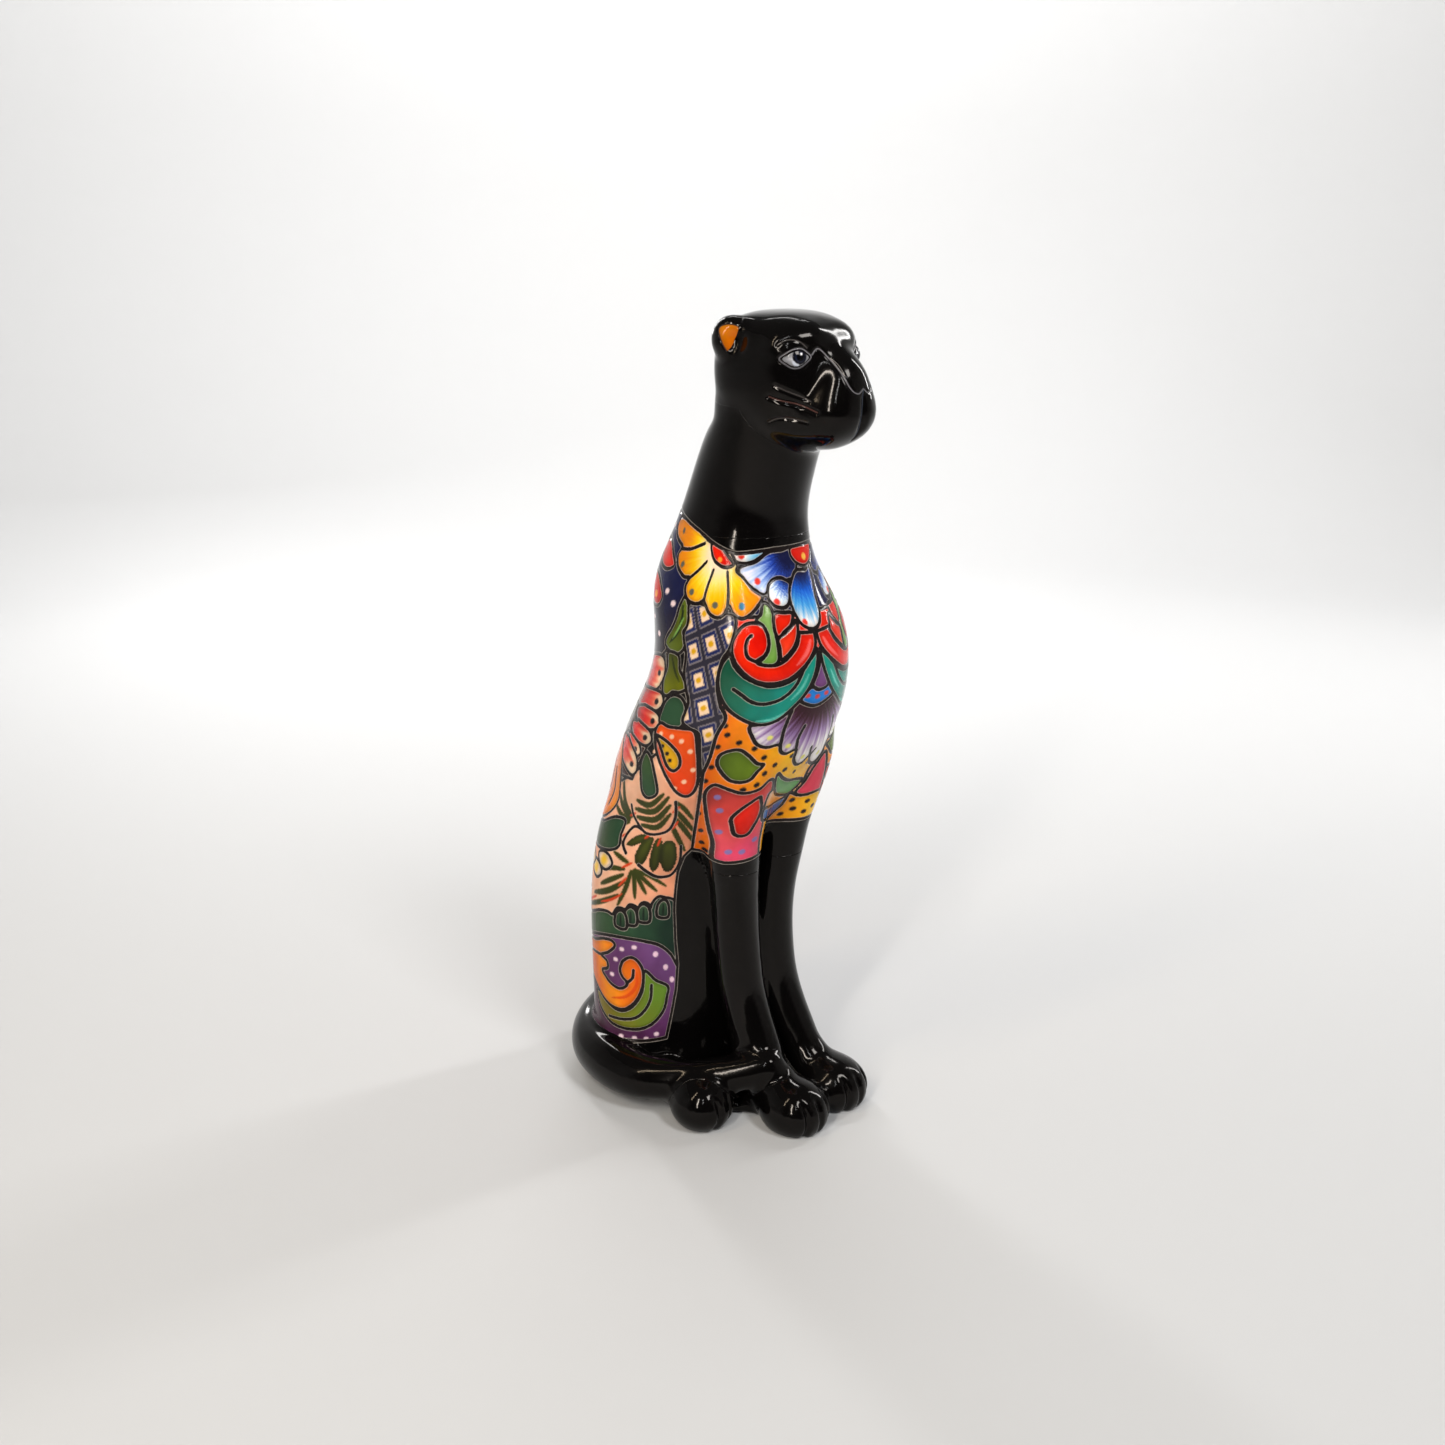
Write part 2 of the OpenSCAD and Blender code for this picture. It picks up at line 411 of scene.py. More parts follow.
def through(points, closed=False, steps=5):
    """A smooth curve through given points; a point given twice makes a corner."""
    points = np.array(points, float)
    count = len(points)
    spans = count if closed else count - 1
    curve = []
    for i in range(spans):
        picks = [i - 1, i, i + 1, i + 2]
        picks = [k % count if closed else min(max(k, 0), count - 1) for k in picks]
        a, b, c, d = points[picks]
        for t in np.arange(steps) / steps:
            curve.append(0.5 * (2 * b + (c - a) * t + (2 * a - 5 * b + 4 * c - d) * t * t
                                + (3 * b - a - 3 * c + d) * t ** 3))
    if not closed:
        curve.append(points[-1])
    return np.array(curve)


def plain(colour):
    return lambda places: np.array(colour, float)


def fade(start, end, *stops):
    """Colours from one place on the chart to another."""
    along = np.subtract(end, start)
    marks = np.linspace(0.0, 1.0, len(stops))

    def colour(places):
        t = (places - start) @ along / (along @ along)
        t = t + 0.05 * np.sin(places[:, 0] * 0.31 + 1.7 * np.sin(places[:, 1] * 0.17))
        return np.stack([np.interp(t, marks, [stop[k] for stop in stops]) for k in range(3)], 1)
    return colour


def rings(centre, radii, *stops, streak=0.1):
    """Colours by distance from a centre, dragged out in brush streaks."""
    def colour(places):
        offset = places - centre
        turn = np.arctan2(offset[:, 1], offset[:, 0])
        reach = np.hypot(offset[:, 0], offset[:, 1])
        comb = np.sin(turn * 61.0) + np.sin(turn * 37.0 + 1.0) + 0.6 * np.sin(turn * 113.0 + 2.0)
        reach = reach * (1.0 + streak * comb / 2.0)
        return np.stack([np.interp(reach, radii, [stop[k] for stop in stops]) for k in range(3)], 1)
    return colour


class Painting:
    """Colours, distances to the nearest dark outline, and how deep the surface is pressed in."""

    def __init__(self, count, charts):
        self.charts = charts
        self.colour = np.full((count, 3), BLACK, float)
        self.line = np.full(count, LINE_FAR)
        self.depth = np.zeros(count)

    def near(self, curve, kind, margin):
        places = self.charts[kind]
        low = curve.min(0) - margin
        high = curve.max(0) + margin
        found = np.nonzero(((places >= low) & (places <= high)).all(1))[0]
        return found, places[found]

    @staticmethod
    def distance(places, curve, closed):
        """Distance to the curve, and whether each place is inside it."""
        best = np.full(len(places), 1e9)
        inside = np.zeros(len(places), bool)
        ends = np.roll(curve, -1, 0) if closed else curve[1:]
        for a, b in zip(curve, ends):
            along = b - a
            offset = places - a
            t = np.clip(offset @ along / max(along @ along, 1e-9), 0.0, 1.0)
            best = np.minimum(best, ((offset - t[:, None] * along) ** 2).sum(1))
            if closed and a[1] != b[1]:
                crosses = (a[1] > places[:, 1]) != (b[1] > places[:, 1])
                inside ^= crosses & (offset[:, 0] < offset[:, 1] * along[0] / along[1])
        return np.sqrt(best), inside

    def cell(self, outline, colour, kind="folded", lined=True, smooth=True, pool=0.16):
        """Fill an outline, with the glaze a little darker where it pools along the edge."""
        curve = through(outline, True) if smooth else np.array(outline, float)
        found, places = self.near(curve, kind, LINE_FAR)
        reach, inside = self.distance(places, curve, True)
        colour = plain(colour) if isinstance(colour, tuple) else colour
        shade = 1.0 - pool * (1.0 - smoothstep(0.5, 5.0, reach[inside]))
        self.colour[found[inside]] = colour(places[inside]) * shade[:, None]
        if lined:
            near = np.where(inside, reach, np.minimum(self.line[found], reach))
            self.line[found] = near

    def line_along(self, points, kind="folded"):
        """A dark line that divides a cell."""
        curve = through(points)
        found, places = self.near(curve, kind, LINE_FAR)
        reach, _ = self.distance(places, curve, False)
        self.line[found] = np.minimum(self.line[found], reach)

    def stroke(self, points, width, colour, kind="folded", taper=1.0):
        """A brush stroke, full at its middle and fine at its ends."""
        curve = through(points)
        found, places = self.near(curve, kind, width)
        best = np.full(len(places), 1e9)
        count = len(curve) - 1
        for i in range(count):
            along = curve[i + 1] - curve[i]
            offset = places - curve[i]
            t = np.clip(offset @ along / max(along @ along, 1e-9), 0.0, 1.0)
            full = math.sin(math.pi * (0.12 + 0.8 * (i + 0.5) / count)) ** taper
            reach = np.sqrt(((offset - t[:, None] * along) ** 2).sum(1)) - 0.5 * width * full
            best = np.minimum(best, reach)
        cover = (1.0 - smoothstep(-0.45, 0.45, best))[:, None]
        self.colour[found] = mix(self.colour[found], np.array(colour, float), cover)

    def crease(self, points, kind, depth, half_width, colour=BLACK, closed=False):
        """A pressed-in line; a thin pale scratch shows along the middle of it."""
        curve = through(points, closed)
        found, places = self.near(curve, kind, 3.0 * half_width + 1.0)
        reach, _ = self.distance(places, curve, closed)
        pressed = depth * np.exp(-(reach / half_width) ** 2)
        self.depth[found] = np.maximum(self.depth[found], pressed)
        cover = (1.0 - smoothstep(0.05, 0.75, reach))[:, None]
        self.colour[found] = mix(self.colour[found], np.array(colour, float), cover)

    def dot(self, centre, radius, colour, kind="folded", stretch=1.0):
        places = self.charts[kind]
        size = np.array([radius * stretch, radius])
        found = np.nonzero((np.abs(places - centre) < size + 1.0).all(1))[0]
        offset = (places[found] - centre) / size
        reach = (np.hypot(offset[:, 0], offset[:, 1]) - 1.0) * radius
        cover = (1.0 - smoothstep(-0.5, 0.5, reach))[:, None]
        self.colour[found] = mix(self.colour[found], np.array(colour, float), cover)

    def dots(self, centres, radius, colour, kind="folded", stretch=1.0):
        for centre in centres:
            self.dot(centre, radius, colour, kind, stretch)


def blossom(art, centre, reach, count, colours, heart, spot):
    """A round flower: petals all round a heart, each with a spot near its tip."""
    shape = ((0.2, 0.0), (0.45, 0.6), (0.75, 1.0), (0.95, 0.7), (1.03, 0.0), (0.95, -0.7), (0.75, -1.0),
             (0.45, -0.6))
    half = 0.92 * math.pi * 0.75 * reach / count
    for k in range(count):
        turn = 2.0 * math.pi * (k + 0.5) / count
        ahead = np.array([math.sin(turn), math.cos(turn)])
        aside = np.array([ahead[1], -ahead[0]])
        outline = [centre + ahead * (along * reach) + aside * (across * half) for along, across in shape]
        art.cell(outline, rings(centre, [0.25 * reach, 0.5 * reach, 0.8 * reach, reach], *colours))
        art.dot(centre + ahead * (0.84 * reach), 2.2, spot)
    ring = [(centre[0] + 0.26 * reach * math.sin(t), centre[1] + 0.26 * reach * math.cos(t))
            for t in np.arange(8) * math.pi / 4.0]
    art.cell(ring, heart)


def leaf(art, start, end, width, colours):
    """A pointed leaf with a vein."""
    start, end = np.array(start, float), np.array(end, float)
    along = end - start
    across = np.array([-along[1], along[0]]) / np.hypot(*along) * width
    art.cell([start, start + 0.3 * along + across, start + 0.7 * along + 0.7 * across, end,
              start + 0.7 * along - 0.7 * across, start + 0.3 * along - across], fade(start, end, *colours))
    art.line_along([start + 0.15 * along, start + 0.75 * along])


def paint_spine(art):
    """Flowers and leaves down the middle of the back; no picture shows them, so they repeat the others."""
    leaf(art, (196, 292), (184, 350), 9, (LEAF, MOSS, OLIVE))
    leaf(art, (214, 366), (188, 356), 6, (MOSS, LEAF))
    leaf(art, (226, 282), (198, 286), 7, (DARK_GREEN, MOSS))
    blossom(art, (251, 426), 27, 8, ((120, 20, 10), (236, 90, 20), YELLOW, ORANGE), NAVY, (206, 44, 30))
    blossom(art, (251, 328), 40, 10, ((150, 60, 10), (240, 200, 160), YELLOW, ORANGE), RED, (60, 90, 150))
    blossom(art, (214, 178), 25, 8, (MAROON, RED, (240, 110, 90), CREAM), YELLOW, (92, 60, 110))
    leaf(art, (190, 172), (164, 160), 6, (OLIVE, MOSS))
    leaf(art, (236, 164), (251, 140), 6, (OLIVE, MOSS))
    leaf(art, (196, 156), (178, 138), 5, (DARK_GREEN, MOSS))


def paint_grounds(art):
    """The broad fields that the motifs lie on."""
    art.cell([(-60, 330), (74, 330), (74, 412), (-60, 412)], RED, smooth=False)
    art.cell([(-60, 404), (60, 404), (60, 460), (-60, 460)], NAVY, smooth=False)
    art.cell([(-60, 200), (80, 200), (80, 340), (-60, 340)],
             fade((10, 300), (72, 290), YELLOW, ORANGE, DEEP_ORANGE), smooth=False)
    art.cell([(60, 205), (73, 290), (110, 300), (135, 272), (150, 262), (260, 262), (260, 120), (60, 120)],
             fade((70, 200), (200, 210), (226, 148, 112), (240, 184, 150), (224, 140, 104)), smooth=False)
    art.cell([(118, 415), (120, 470), (260, 482), (260, 366), (150, 362), (136, 372), (122, 380)],
             fade((150, 470), (150, 370), NAVY, NAVY, (34, 24, 34)), smooth=False)
    art.cell([(60, 138), (100, 138), (160, 130), (260, 96), (260, 40), (60, 40)],
             fade((80, 120), (150, 50), PURPLE, (92, 48, 92), (58, 26, 46)), smooth=False)


def paint_back(art):
    """The side of the back, with its drops, overlapping petals and scrolls; the spine is a free guess."""
    for centre in ((132, 408), (145, 415), (151, 383), (168, 393), (196, 396), (214, 412), (205, 432),
                   (232, 398), (226, 446), (186, 458), (210, 458), (240, 378), (218, 384)):
        art.dot(centre, 2.2, (240, 214, 214), stretch=1.5)
    art.cell([(147, 433), (157, 440), (172, 447), (190, 449), (204, 444), (196, 436), (178, 431), (160, 429)],
             fade((150, 434), (200, 446), RED, (206, 70, 66)))
    art.cell([(152, 410), (160, 417), (174, 423), (192, 424), (200, 416), (192, 406), (174, 402), (158, 403)],
             fade((152, 408), (200, 420), (186, 28, 14), RED))
    art.dot((168, 410), 2.6, ORANGE, stretch=1.7)
    art.cell([(136, 369), (200, 356), (260, 344), (260, 262), (200, 262), (134, 268), (126, 300), (124, 340)],
             fade((130, 310), (240, 310), (58, 20, 12), (34, 14, 12)), smooth=False)
    for at, height, deep, length, turned in (
            (132, 356, 27, 84, -0.14), (124, 335, 16, 84, -0.1), (121, 319.5, 15, 46, 0.0),
            (124, 304.5, 14, 40, 0.1), (133, 292, 12, 38, 0.16), (132, 278, 19, 44, 0.36)):
        half = deep / 2.0
        slope = np.array([1.0, turned])
        shape = ((-1, 0), (3, 0.75), (11, 1.0), (28, 1.0), (0.75 * length, 0.8), (length, 0.35),
                 (length, -0.35), (0.75 * length, -0.8), (28, -1.0), (9, -1.0), (2, -0.7))
        outline = [slope * along + (at, height + across * half) for along, across in shape]
        art.cell(outline, rings((at + 100, height + 100 * turned), [42, 76, 88, 96], (70, 6, 6), (222, 18, 8),
                                (236, 104, 76), CREAM, streak=0.07))
        art.dot((at + 8, height + 6 * turned - 0.5), 2.3, INK, stretch=1.3)
    art.cell([(150, 246), (153, 262), (159, 275), (167, 285), (182, 293), (204, 295), (225, 284), (236, 262),
              (228, 240), (208, 224), (184, 220), (166, 225), (155, 234)],
             fade((150, 250), (220, 262), ORANGE, DEEP_ORANGE, (196, 60, 10)))
    art.line_along([(216, 236), (222, 254), (214, 272), (196, 278), (180, 268), (178, 252), (188, 242),
                    (202, 244), (207, 256), (198, 263)])
    art.line_along([(166, 236), (163, 252), (170, 268)])
    art.cell([(238, 296), (251, 302), (266, 296), (266, 222), (251, 214), (240, 222), (244, 262)],
             fade((251, 300), (251, 220), LEAF, DARK_GREEN))


def paint_shoulder_leaves(art):
    """Two brushed olive leaves and a dark green cell below them."""
    art.cell([(119, 415), (123, 408), (125, 399), (129, 391), (135, 384), (137, 378), (129, 374), (120, 373),
              (113, 377), (111, 385), (115, 390), (111, 396), (111, 405), (115, 411)],
             fade((118, 410), (130, 376), MOSS, OLIVE, MOSS))
    art.stroke([(119, 408), (118, 398), (122, 388), (130, 380)], 3.5, (30, 40, 20))
    art.stroke([(116, 400), (121, 391), (126, 384)], 2.0, LEAF)
    art.cell([(116, 372), (124, 374), (131, 372), (129, 361), (131, 351), (127, 342), (121, 341), (116, 345),
              (109, 346), (103, 350), (107, 357), (113, 363)],
             fade((118, 372), (112, 346), OLIVE, (112, 116, 10)))
    art.stroke([(124, 370), (118, 361), (111, 354)], 2.4, (44, 52, 16))
    art.cell([(100, 320), (98, 330), (100, 338), (106, 343), (114, 343), (120, 338), (122, 330), (120, 320)],
             DARK_GREEN)


LATTICE_AT = (88.0, 385.0)
LATTICE_ALONG = (14.0, -7.0)
LATTICE_DOWN = (-8.5, -20.0)


def lattice(places):
    """Cream squares with yellow middles, crossed by double bars on navy."""
    basis = np.array([LATTICE_ALONG, LATTICE_DOWN]).T
    steps = (places - LATTICE_AT) @ np.linalg.inv(basis).T
    part = np.abs(steps - np.round(steps))
    colour = np.full((len(places), 3), (36, 44, 88), float)
    bar = np.maximum(part[:, 0], part[:, 1])
    colour = mix(colour, np.array((128, 118, 120), float), smoothstep(0.35, 0.37, bar)[:, None])
    colour = mix(colour, np.array((46, 44, 56), float), smoothstep(0.40, 0.42, bar)[:, None])
    square = 1.0 - smoothstep(0.21, 0.25, np.maximum(part[:, 0], 0.95 * part[:, 1]))
    colour = mix(colour, np.array(CREAM, float), square[:, None])
    middle = 1.0 - smoothstep(1.6, 2.4, np.hypot(14.0 * part[:, 0], 21.0 * part[:, 1]))
    return mix(colour, np.array((216, 160, 24), float), middle[:, None])


def paint_lattice(art):
    art.cell([(70, 404), (84, 407), (100, 411), (113, 412), (111, 398), (114, 388), (109, 375), (108, 362),
              (103, 350), (98, 340), (99, 326), (92, 321), (84, 318), (80, 306), (76, 292), (73, 284),
              (71, 300), (71, 318), (68, 332), (74, 342), (79, 358), (78, 374), (73, 384)], lattice)


def paint_haunch_leaves(art):
    """Striped leaves and small petals on the pink ground of the haunch."""
    dark = (52, 58, 16)
    for start, bend, end, width in (
            ((122, 252), (108, 251), (98, 263), 4.2), ((122, 244), (103, 246), (93, 261), 4.4),
            ((119, 237), (100, 239), (90, 254), 4.6), ((113, 231), (97, 232), (88, 246), 4.2),
            ((86, 258), (78, 253), (69, 244), 3.2), ((84, 250), (76, 243), (65, 232), 3.6),
            ((83, 243), (74, 234), (62, 221), 3.6), ((84, 235), (78, 226), (68, 212), 3.8),
            ((126, 236), (138, 246), (146, 264), 4.0), ((128, 234), (140, 241), (150, 252), 4.0),
            ((128, 232), (140, 234), (151, 240), 3.6), ((128, 230), (136, 228), (146, 231), 3.4),
            ((110, 192), (96, 187), (80, 178), 2.6), ((110, 192), (99, 183), (88, 174), 2.8),
            ((110, 191), (103, 181), (97, 172), 2.8), ((111, 191), (108, 180), (106, 168), 3.0),
            ((113, 190), (115, 176), (121, 160), 3.4), ((118, 180), (132, 170), (152, 162), 4.4),
            ((120, 186), (132, 179), (142, 173), 3.8), ((120, 191), (130, 190), (140, 187), 3.4),
            ((118, 197), (126, 200), (134, 203), 3.2), ((122, 168), (140, 158), (168, 146), 3.6),
            ((170, 190), (190, 176), (214, 168), 4.4), ((174, 180), (192, 164), (212, 150), 4.4),
            ((216, 196), (232, 186), (251, 182), 4.0), ((214, 176), (232, 164), (251, 156), 4.0)):
        art.stroke([start, bend, end], 1.3 * width, dark, taper=0.7)
    for outline in (
            [(77, 217), (83, 221), (89, 217), (90, 206), (87, 195), (80, 190), (74, 197), (74, 208)],
            [(90, 219), (96, 221), (99, 211), (99, 199), (95, 191), (90, 194), (89, 206)],
            [(99, 221), (106, 220), (112, 211), (113, 201), (108, 195), (103, 199), (100, 210)],
            [(103, 223), (113, 222), (122, 216), (124, 211), (117, 211), (109, 216)]):
        art.cell(outline, fade((90, 222), (90, 192), OLIVE, (50, 52, 12)), lined=False, pool=0.3)
    art.line_along([(86, 258), (83, 244), (86, 231), (96, 225), (107, 224), (114, 228), (124, 237),
                    (129, 246)])
    art.line_along([(72, 216), (70, 200), (76, 188), (88, 186), (98, 190), (108, 196)])
    art.line_along([(112, 226), (120, 228), (126, 222), (128, 212), (122, 204)])
    for points in ([(80, 240), (83, 232)], [(82, 254), (86, 248)], [(92, 222), (94, 214)],
                   [(104, 223), (108, 219)], [(118, 170), (128, 163), (140, 158)],
                   [(116, 184), (122, 176)], [(126, 221), (132, 216)], [(122, 240), (128, 236)],
                   [(114, 197), (122, 192)], [(148, 160), (166, 150)]):
        art.stroke(points, 2.4, (206, 62, 26))
    art.cell([(133, 230), (143, 231), (152, 228), (163, 222), (180, 219), (190, 212), (186, 203),
              (168, 200), (150, 201), (137, 204), (131, 209), (133, 218)],
             fade((140, 225), (170, 205), DARK_GREEN, (64, 74, 44)))
    for at, height in ((133, 192), (144, 182), (160, 188), (172, 176)):
        art.cell([(at, height), (at + 5, height + 6), (at + 14, height + 8), (at + 22, height + 4),
                  (at + 16, height - 4), (at + 6, height - 6)],
                 rings((at + 11, height + 1), [0, 3, 6, 12], YELLOW, (236, 190, 70), CREAM, (196, 190, 186)))
    art.cell([(200, 212), (220, 216), (251, 206), (268, 206), (268, 190), (251, 186), (228, 190), (206, 198)],
             fade((200, 205), (251, 195), PURPLE, COBALT))


def paint_orange_cell(art):
    """The dotted orange cell at the waist, with a yellow drop, and a green leaf behind it."""
    art.cell([(87, 319), (97, 320), (109, 319), (119, 320), (122, 313), (118, 303), (112, 294), (104, 284),
              (96, 275), (88, 267), (80, 264), (75, 268), (74, 278), (77, 291), (81, 304)],
             fade((84, 318), (84, 266), (236, 84, 16), (228, 60, 14)))
    art.dots(((95, 310), (104, 312), (115, 312), (86, 303), (80, 288), (84, 277), (97, 276), (107, 286),
              (116, 297), (90, 270)), 2.0, (250, 196, 160))
    art.cell([(120, 310), (109, 308), (99, 303), (93, 297), (91, 290), (94, 285), (99, 286), (104, 291),
              (109, 298), (114, 304)], fade((94, 290), (118, 308), (232, 170, 16), (206, 158, 20)))
    art.dots(((110, 303), (104, 298), (100, 293)), 1.7, INK)
    art.cell([(126, 294), (121, 293), (116, 288), (110, 278), (105, 268), (104, 262), (108, 258), (114, 257),
              (120, 262), (124, 272), (128, 284)], fade((122, 290), (108, 260), (52, 78, 40), DARK_GREEN))


def paint_lower_haunch(art):
    """A green band with a scalloped edge, and orange and green scrolls on dotted purple."""
    art.cell([(66, 160), (72, 166), (80, 168), (86, 169), (91, 164), (92, 160), (95, 164), (100, 164),
              (103, 159), (105, 161), (110, 162), (114, 157), (117, 158), (122, 157), (126, 151),
              (132, 152), (142, 150), (156, 144), (176, 136), (210, 124), (251, 116), (262, 112), (262, 88),
              (251, 92), (210, 104), (170, 120), (150, 127), (130, 132), (110, 133), (95, 131), (84, 127),
              (74, 119), (64, 108)], fade((70, 140), (150, 135), (20, 44, 34), DARK_GREEN, (52, 78, 46)))
    for at, height in ((81, 158), (98, 155), (109, 152), (118, 148)):
        art.cell([(at - 5, height - 7), (at - 5, height + 4), (at, height + 8), (at + 5, height + 4),
                  (at + 5, height - 6)], fade((at, height + 8), (at, height - 6), (62, 88, 58), (30, 56, 40)))
        art.stroke([(at, height + 4), (at, height - 6)], 2.0, (20, 34, 24))
    art.dots(((88, 120), (79, 108), (73, 97)), 2.4, (236, 200, 216))
    art.dots(((106, 126), (117, 123), (123, 113), (127, 99), (88, 50), (97, 46), (107, 46), (119, 46),
              (204, 80), (216, 92), (228, 84), (236, 70), (222, 68), (244, 92)),
             1.9, (236, 206, 216), stretch=1.2)
    art.cell([(77, 91), (88, 97), (97, 106), (99, 98), (100, 88), (105, 78), (112, 71), (122, 68), (134, 72),
              (144, 78), (150, 76), (144, 64), (131, 55), (115, 53), (100, 55), (89, 61), (81, 71), (78, 82)],
             fade((80, 86), (140, 62), (104, 146, 46), (112, 124, 30), (122, 104, 30)))
    art.line_along([(92, 93), (93, 81), (98, 71), (106, 64), (118, 61), (132, 60)])
    art.cell([(109, 117), (103, 114), (99, 106), (99, 95), (102, 85), (108, 76), (117, 70), (128, 70),
              (138, 74), (148, 81), (160, 86), (180, 84), (200, 74), (212, 84), (196, 104), (170, 117),
              (150, 122), (137, 127), (127, 128), (124, 124), (131, 117), (140, 112), (133, 109),
              (132, 103), (139, 99), (134, 94), (128, 90), (120, 88), (114, 91), (113, 95), (117, 99),
              (119, 105), (116, 113)], fade((104, 110), (160, 100), (226, 90, 8), ORANGE, (206, 84, 8)))
    art.line_along([(107, 106), (108, 99), (113, 94)])
    art.line_along([(140, 112), (156, 110), (172, 106)])
    art.stroke([(104, 104), (105, 92), (114, 82), (128, 78)], 3.0, (216, 74, 6))


def paint_forelegs(art):
    """Upper forelegs: yellow ground with black dots, and large pink cells with a red drop."""
    art.dots(((67, 326), (64, 319), (55, 313), (44, 308), (68, 309), (36, 300), (33, 287), (15, 285),
              (3, 280), (-8, 276), (37, 279), (45, 276), (68, 292), (69, 280), (69, 266), (66, 250),
              (60, 234), (52, 216), (26, 292), (14, 297), (60, 273), (-4, 284), (56, 222)), 2.0, INK)
    art.cell([(35, 294), (40, 296), (46, 302), (53, 307), (60, 306), (65, 302), (65, 295), (60, 288),
              (54, 283), (47, 282), (42, 284), (39, 289)],
             fade((42, 290), (64, 300), (92, 116, 24), (74, 96, 22)))
    art.cell([(22, 277), (27, 280), (34, 275), (44, 273), (54, 276), (62, 278), (66, 273), (66, 266),
              (62, 254), (57, 241), (51, 227), (45, 208), (20, 208), (20, 226), (21, 240), (23, 255),
              (21, 266)],
             fade((24, 226), (60, 276), (226, 70, 104), (222, 78, 84), (206, 62, 56), (150, 48, 44)))
    art.dots(((24, 267), (26, 230), (33, 221), (41, 221), (54, 257), (50, 238), (58, 268)),
             2.2, (132, 112, 168))
    art.cell([(32, 268), (38, 264), (43, 258), (46, 251), (44, 244), (41, 237), (36, 235), (32, 237),
              (30, 243), (28, 250), (28, 258), (30, 264)], fade((30, 262), (44, 240), RED, (214, 22, 8)))
    art.cell([(-6, 262), (4, 264), (14, 268), (23, 268), (25, 256), (18, 251), (4, 251), (-6, 253)],
             fade((0, 266), (0, 252), (240, 190, 150), (232, 136, 50)), "whole")
    art.cell([(-6, 253), (2, 252), (12, 252), (24, 255), (24, 246), (16, 242), (6, 238), (0, 236), (-4, 242)],
             fade((0, 252), (0, 238), (56, 110, 176), (34, 70, 140)), "whole")
    art.cell([(-13, 267), (-6, 270), (4, 272), (13, 277), (20, 283), (20, 276), (17, 268), (12, 262),
              (4, 258), (-4, 256), (-9, 259)],
             fade((-8, 262), (18, 276), (80, 148, 66), (98, 160, 84)), "whole")
    art.cell([(-30, 286), (-21, 278), (-16, 264), (-12, 256), (-17, 252), (-32, 249)],
             fade((-20, 280), (-20, 252), PINK, (226, 64, 88)), "whole")
    art.cell([(-34, 251), (-17, 252), (-8, 256), (-6, 246), (0, 236), (-2, 226), (-34, 226)],
             fade((-30, 240), (-4, 240), YELLOW, ORANGE), "whole")
    art.dots(((-12, 249), (-14, 241), (-21, 237), (-22, 246), (-8, 237), (-28, 240)), 1.9, INK, "whole")


def paint_chest(art):
    """The dark striped flower between the shoulders, with the blue band and the violet drop above it."""
    petals = rings((6, 352), [10, 24, 40, 58, 70], (40, 16, 22), (58, 24, 38), (150, 116, 170), WHITE, WHITE,
                   streak=0.16)
    art.cell([(-48, 336), (-50, 326), (-44, 318), (-38, 316), (-40, 306), (-34, 299), (-26, 299),
              (-24, 288), (-17, 281), (-9, 285), (-5, 292), (0, 287), (6, 287), (11, 293), (13, 302),
              (20, 300), (25, 303), (28, 309), (36, 308), (43, 311), (48, 318), (51, 326), (40, 328),
              (30, 338), (20, 344), (-10, 344)], petals, "whole")
    for points in ([(26, 336), (28, 322), (27, 309)], [(13, 322), (15, 312), (13, 302)],
                   [(-9, 296), (-5, 292), (-2, 300)], [(-26, 299), (-22, 310), (-16, 322)],
                   [(-38, 316), (-30, 326), (-22, 334)]):
        art.line_along(points, "whole")
    art.dots(((36, 316), (21, 307), (3, 293), (-17, 290), (-33, 305), (-43, 323)),
             2.0, (232, 226, 120), "whole")
    art.cell([(-8, 344), (-3, 352), (2, 350), (8, 349), (14, 352), (21, 344), (15, 339), (8, 337), (0, 339)],
             fade((-6, 345), (20, 346), (44, 120, 204), (12, 130, 222)), "whole")
    art.dots(((16, 346), (8, 344), (0, 345)), 1.8, (206, 62, 60), "whole", 1.2)
    art.cell([(7, 374), (9, 364), (13, 354), (9, 350), (4, 349), (-1, 352), (1, 362)],
             fade((4, 370), (8, 352), (124, 88, 140), (112, 62, 118)), "whole")


